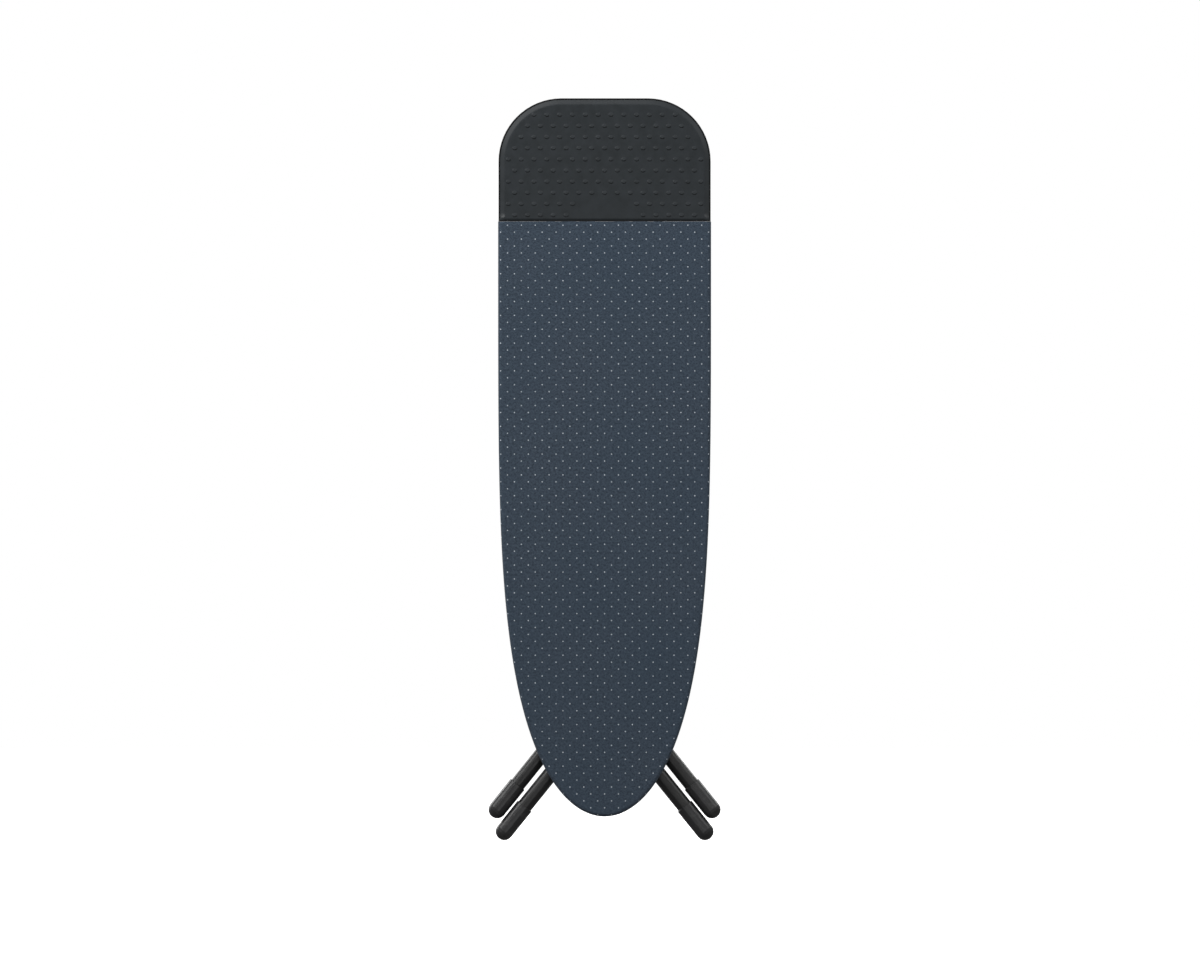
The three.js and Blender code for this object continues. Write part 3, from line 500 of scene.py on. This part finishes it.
def gather(distance, seed):
    """A wavy amount from -1 to 1 along the hem, uneven in spacing and in height."""
    bend = 5 * math.sin(distance * 11 + seed) + 3 * math.sin(distance * 29 + 2 * seed)
    fullness = 0.65 + 0.35 * math.sin(distance * 47 + seed)
    return math.sin(distance * 2 * math.pi / WAVE_LENGTH + bend) * fullness


def lay_flat(piece, places):
    """Stores where each point of a piece lies on the flat cloth."""
    layer = piece.data.attributes.new("cloth", "FLOAT_VECTOR", "POINT")
    layer.data.foreach_set("vector", places.astype(np.float32).ravel())


def cover_profile(on_tail):
    """Inset from the edge and depth from the front, from the flat top round to the hem."""
    roll = TAIL_ROLL if on_tail else SIDE_ROLL
    tuck = 0 if on_tail else HEM_TUCK
    end = HEM_DEPTH - (TAIL_GAP if on_tail else SIDE_GAP)
    steps = [(FLAT_EDGE, 0)]
    for angle in np.linspace(0, math.pi / 2, 8):
        steps.append((roll * (1 - math.sin(angle)), roll * (1 - math.cos(angle))))
    for share in (0.3, 0.6, 0.85):
        steps.append((0, roll + (end - tuck - roll) * share))
    for angle in np.linspace(0, math.pi / 2, 5):
        steps.append((tuck * (1 - math.cos(angle)), end - tuck + tuck * math.sin(angle)))
    for reach in np.linspace(HEM_TUCK, HEM_REACH, 8)[1:]:
        steps.append((reach * tuck / HEM_TUCK, end))
    return np.array(steps)


def make_cover():
    edge, on_tail = board_outline()
    normal = outward(edge)
    distance = travelled(edge)
    profiles = {False: cover_profile(False), True: cover_profile(True)}
    spine_low, spine_high = NOSE_Z + SPINE_MARGIN, SEAM_Z - SPINE_MARGIN
    points, flat = [], []
    for i in range(len(edge)):
        profile = profiles[bool(on_tail[i])]
        spans = np.linalg.norm(np.diff(profile, axis=0), axis=1)
        lengths = np.concatenate([[0], np.cumsum(spans)])
        inner = edge[i] - normal[i] * FLAT_EDGE
        spine = np.array([0, min(max(inner[1], spine_low), spine_high)])
        for share in INNER_SHARES:
            spot = inner + (spine - inner) * share
            points.append((spot[0], FRONT, spot[1]))
            flat.append((spot[0], spot[1], 0))
        for k, (inset, depth) in enumerate(profile):
            if k > WALL_END and not on_tail[i]:
                pulled = (k - WALL_END) / (len(profile) - 1 - WALL_END)
                depth += WAVE_DEPTH * pulled * gather(distance[i], DEPTH_SEED)
                inset += WAVE_INSET * pulled * gather(distance[i], INSET_SEED)
            spot = edge[i] - normal[i] * inset
            points.append((spot[0], FRONT + depth, spot[1]))
            laid = inner + normal[i] * lengths[k]
            flat.append((laid[0], laid[1], 0))
    width = len(INNER_SHARES) + len(profiles[False])
    faces = ring_faces(len(edge), width)
    piece = add_piece("fabric_cover", points, faces, "board", "cover_fabric")
    lay_flat(piece, np.array(flat) - (0, SEAM_Z - FIRST_DOT_ROW, 0))
    tidy_mesh(piece)
    thickness = piece.modifiers.new("cloth_thickness", "SOLIDIFY")
    thickness.thickness = CLOTH_THICKNESS
    thickness.offset = -1
    return piece


cover = make_cover()
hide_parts("cover")


def sweep(name, path, radius, sides, body, material_slot):
    """A round bar along a smooth path, with its section kept square to the path."""
    path = np.array(path)
    along = np.concatenate([path[1:], path[-1:]]) - np.concatenate([path[:1], path[:-1]])
    along /= np.linalg.norm(along, axis=1)[:, None]
    side = np.cross(along, (0, 1, 0))
    side /= np.linalg.norm(side, axis=1)[:, None]
    up = np.cross(side, along)
    points = []
    for centre, a, b in zip(path, side, up):
        for turn in np.linspace(0, 2 * math.pi, sides, endpoint=False):
            points.append(centre + radius * (math.cos(turn) * a + math.sin(turn) * b))
    faces = []
    last = (len(path) - 1) * sides
    for here in range(0, last, sides):
        there = here + sides
        for k in range(sides):
            after = (k + 1) % sides
            faces.append((here + k, here + after, there + after, there + k))
    faces.append(tuple(range(sides))[::-1])
    faces.append(tuple(range(last, last + sides)))
    piece = add_piece(name, points, faces, body, material_slot)
    tidy_mesh(piece)
    return piece


def make_hem_channel():
    """The sewn channel along the hem's free edge, as one round bar."""
    edge, on_tail = board_outline()
    normal = outward(edge)
    distance = travelled(edge)
    start = int(np.argmax(on_tail)) + int(on_tail.sum())
    path = []
    for step in range(len(edge)):
        i = (start + step) % len(edge)
        if on_tail[i] or abs(edge[i][1] - SEAM_Z) < CHANNEL_END_GAP:
            continue
        inset = HEM_REACH + WAVE_INSET * gather(distance[i], INSET_SEED)
        depth = HEM_DEPTH - CHANNEL_RISE + WAVE_DEPTH * gather(distance[i], DEPTH_SEED)
        spot = edge[i] - normal[i] * inset
        path.append((spot[0], FRONT + depth, spot[1]))
    size = CHANNEL_RADIUS, CHANNEL_SIDES
    piece = sweep("cover_hem_channel", path, *size, "board", "cover_fabric")
    places = np.zeros(len(piece.data.vertices) * 3, np.float32)
    piece.data.vertices.foreach_get("co", places)
    lay_flat(piece, places.reshape(-1, 3)[:, [0, 2, 1]])
    return piece


hem = make_hem_channel()


# ---- Pad: soft felt with rounded edges ----
PAD_FLAT_EDGE = 8 * MM  # the flat faces end this far from the pad's edge


def make_pad():
    """The felt layer under the cover, as far inside its outline as the CAD pad is."""
    low, high = (np.array(corner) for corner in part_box("pad"))
    edge, _ = board_outline()
    normal = outward(edge)
    inset = HALF_WIDTH - high[0]
    thick = high[1] - low[1]
    profile = [(PAD_FLAT_EDGE, 0)]
    for angle in np.linspace(0, math.pi, 9):
        reach, depth = 1 - math.sin(angle), 1 - math.cos(angle)
        profile.append((thick / 2 * reach, thick / 2 * depth))
    profile.append((PAD_FLAT_EDGE, thick))
    points = []
    for i in range(len(edge)):
        for reach, depth in profile:
            spot = edge[i] - normal[i] * (inset + reach)
            points.append((spot[0], low[1] + depth, spot[1]))
    count, width = len(edge), len(profile)
    faces = ring_faces(count, width)
    faces.append([i * width for i in range(count)])
    faces.append([i * width + width - 1 for i in reversed(range(count))])
    piece = add_piece("felt_pad", points, faces, "board", "pad_felt")
    tidy_mesh(piece)
    return piece


pad = make_pad()
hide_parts("pad")

# ---- Iron rest mat: silicone with a soft rounded edge and rows of small hooded bumps ----
mat_low, mat_high = (np.array(corner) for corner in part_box("rest_mat"))
MAT_CORNER = 110.2 * MM
MAT_SLOPE_DROP = 3.4 * MM
MAT_SLOPE_WIDTH = 7.5 * MM
MAT_SLOPE_SOFTENING = 3.5 * MM  # the slope's top turns level over this width
MAT_FOOT_WIDTH = 0.35  # the slope's width along the seam, as a share of that elsewhere
MAT_FOOT_DROP = 0.5  # the same for its drop
MAT_SLOPE_POINTS = (0, 0.8, 2.5, 4.5, 6.3, 7.5, 8.1, 8.8, 9.5, 10.2, 11)  # millimetres in
MAT_BACK_INSET = 6 * MM
MAT_FOOT_TOLERANCE = 0.01 * MM
MAT_ARC_POINTS = 40
MAT_SIDE_POINTS = 16
MAT_TOP_POINTS = 12  # on each half
MAT_FOOT_POINTS = 40
BUMP_PITCH = 22.9 * MM
BUMP_ROW = 19.9 * MM
BUMP_TOP = 27.2 * MM  # first row below the mat's top edge
BUMP_ROWS = 10
BUMP_COLUMNS = 9  # to each side of the middle, before those off the mat are left out
BUMP_MARGIN = 12 * MM
BUMP_RADIUS = 5 * MM
BUMP_SQUASH = 0.85  # height over width, seen from the front
BUMP_HEIGHT = 1.3 * MM
BUMP_SINK = 0.1 * MM  # of its edge into the mat
BUMP_LIP = 2.3 * MM  # width of the steep lower edge
BUMP_RINGS, BUMP_SIDES = 9, 28
PAINTED_SHADE_FADE = 0.75  # share of its painted shade that the lip loses towards its top
PLAIN_ROWS = 2  # rows that leave a smooth panel in the middle
PLAIN_HALF_WIDTH = 56 * MM


def mat_outline():
    """Points round the mat's edge in x and z."""
    corner_x, corner_z = mat_high[0] - MAT_CORNER, mat_high[2] - MAT_CORNER
    turns = np.linspace(0, math.pi / 2, MAT_ARC_POINTS)
    heights = np.linspace(mat_low[2], corner_z, MAT_SIDE_POINTS)[:-1]
    side = [(mat_high[0], z) for z in heights]
    arc = [(MAT_CORNER * math.cos(t), MAT_CORNER * math.sin(t)) for t in turns]
    right = side + [(corner_x + x, corner_z + z) for x, z in arc]
    right += [(x, mat_high[2]) for x in np.linspace(corner_x, 0, MAT_TOP_POINTS)[1:-1]]
    left = [(-x, z) for x, z in reversed(right)]
    feet = np.linspace(-mat_high[0], mat_high[0], MAT_FOOT_POINTS)[1:-1]
    bottom = [(x, mat_low[2]) for x in feet]
    return np.array(right + [(0, mat_high[2])] + left + bottom)


def make_mat():
    """The mat, with a flat back and a front that slopes down to a thinner edge."""
    edge = mat_outline()
    normal = outward(edge)
    at_foot = edge[:, 1] < mat_low[2] + MAT_FOOT_TOLERANCE
    thick = mat_high[1] - mat_low[1]
    profile = [(MAT_BACK_INSET, None), (0, None)]  # no drop: on the back
    steepness = MAT_SLOPE_DROP / (MAT_SLOPE_WIDTH + MAT_SLOPE_SOFTENING / 2)
    for inset in MAT_SLOPE_POINTS:
        past = max(inset * MM - MAT_SLOPE_WIDTH, 0)
        climbed = inset * MM - past**2 / (2 * MAT_SLOPE_SOFTENING)
        profile.append((inset * MM, MAT_SLOPE_DROP - steepness * climbed))
    points = []
    for i in range(len(edge)):
        for inset, drop in profile:
            depth = thick if drop is None else drop * (MAT_FOOT_DROP if at_foot[i] else 1)
            width = MAT_FOOT_WIDTH if at_foot[i] and drop is not None else 1
            spot = edge[i] - normal[i] * inset * width
            points.append((spot[0], mat_low[1] + depth, spot[1]))
    count, width = len(edge), len(profile)
    faces = ring_faces(count, width)
    faces.append([i * width for i in reversed(range(count))])
    faces.append([i * width + width - 1 for i in range(count)])
    piece = add_piece("silicone_mat", points, faces, "board", "mat_silicone")
    tidy_mesh(piece)
    return piece


mat = make_mat()
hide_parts("rest_mat")


def bump_places():
    """The bumps' centres in x and z: staggered rows that leave the panel smooth."""
    for row in range(BUMP_ROWS):
        z = mat_high[2] - BUMP_TOP - row * BUMP_ROW
        rise = max(z - (mat_high[2] - MAT_CORNER), 0)
        reach = mat_high[0] - MAT_CORNER + math.sqrt(MAT_CORNER**2 - rise**2) - BUMP_MARGIN
        shift = 0.5 if row % 2 == 0 else 0
        for column in range(-BUMP_COLUMNS, BUMP_COLUMNS + 1):
            x = (column + shift) * BUMP_PITCH
            in_panel = row >= BUMP_ROWS - PLAIN_ROWS and abs(x) < PLAIN_HALF_WIDTH
            if abs(x) <= reach and not in_panel:
                yield x, z


def make_bumps():
    """Each bump is flush at its upper edge and rises to a steep, rounded lower lip."""
    rings, sides = BUMP_RINGS, BUMP_SIDES
    points, faces, dark = [], [], []
    for x, z in bump_places():
        start = len(points)
        for ring in range(rings + 1):
            share = ring / rings
            lip = min(1, (1 - share) * BUMP_RADIUS / BUMP_LIP)
            lip = lip * lip * (3 - 2 * lip)
            for side in range(sides):
                turn = side / sides * 2 * math.pi
                across, up = share * math.cos(turn), share * math.sin(turn)
                rise = BUMP_HEIGHT * lip * (0.5 - 0.5 * up)
                if ring == rings:
                    rise = -BUMP_SINK
                high = z + BUMP_RADIUS * BUMP_SQUASH * up
                points.append((x + BUMP_RADIUS * across, mat_low[1] - rise, high))
                # Painted shade on each bump's lower side: strongest on the steep outer lip, weaker
                # nearer the middle.
                shade = (1 - lip * PAINTED_SHADE_FADE) * max(-up, 0) ** 0.5
                dark.append(shade if ring > rings / 3 else 0)
        for ring in range(rings):
            for side in range(sides):
                after = (side + 1) % sides
                a = start + ring * sides
                b = a + sides
                faces.append((a + side, b + side, b + after, a + after))
    piece = add_piece("rest_mat_bumps", points, faces, "board", "mat_silicone")
    # The lip value is painted shade, which the silicone look darkens the surface by.
    piece.data.attributes.new("lip", "FLOAT", "POINT").data.foreach_set("value", dark)
    tidy_mesh(piece)


make_bumps()


# ---- Floor ----
FLOOR_HALF = 14.0
FLOOR_DROP = 0.5 * MM  # below the feet
CORNERS = ((-1, -1), (1, -1), (1, 1), (-1, 1))
floor_look = Look("pale_floor")
clouds = floor_look.noise(6, 3)
floor_look.set(
    Base_Color=floor_look.mix(clouds, (0.9, 0.9, 0.9, 1), (0.94, 0.94, 0.94, 1)),
    Roughness=0.9,
    Emission_Color=(1, 1, 1, 1),
    Emission_Strength=1.0,
)
corners = [(FLOOR_HALF * x, FLOOR_HALF * y, -FLOOR_DROP) for x, y in CORNERS]
floor_mesh = bpy.data.meshes.new("floor")
floor_mesh.from_pydata(corners, [], [(0, 1, 2, 3)])
floor_mesh.materials.append(floor_look.material)
floor = bpy.data.objects.new("floor", floor_mesh)
floor.visible_diffuse = False
floor.visible_glossy = False
bpy.context.scene.collection.objects.link(floor)
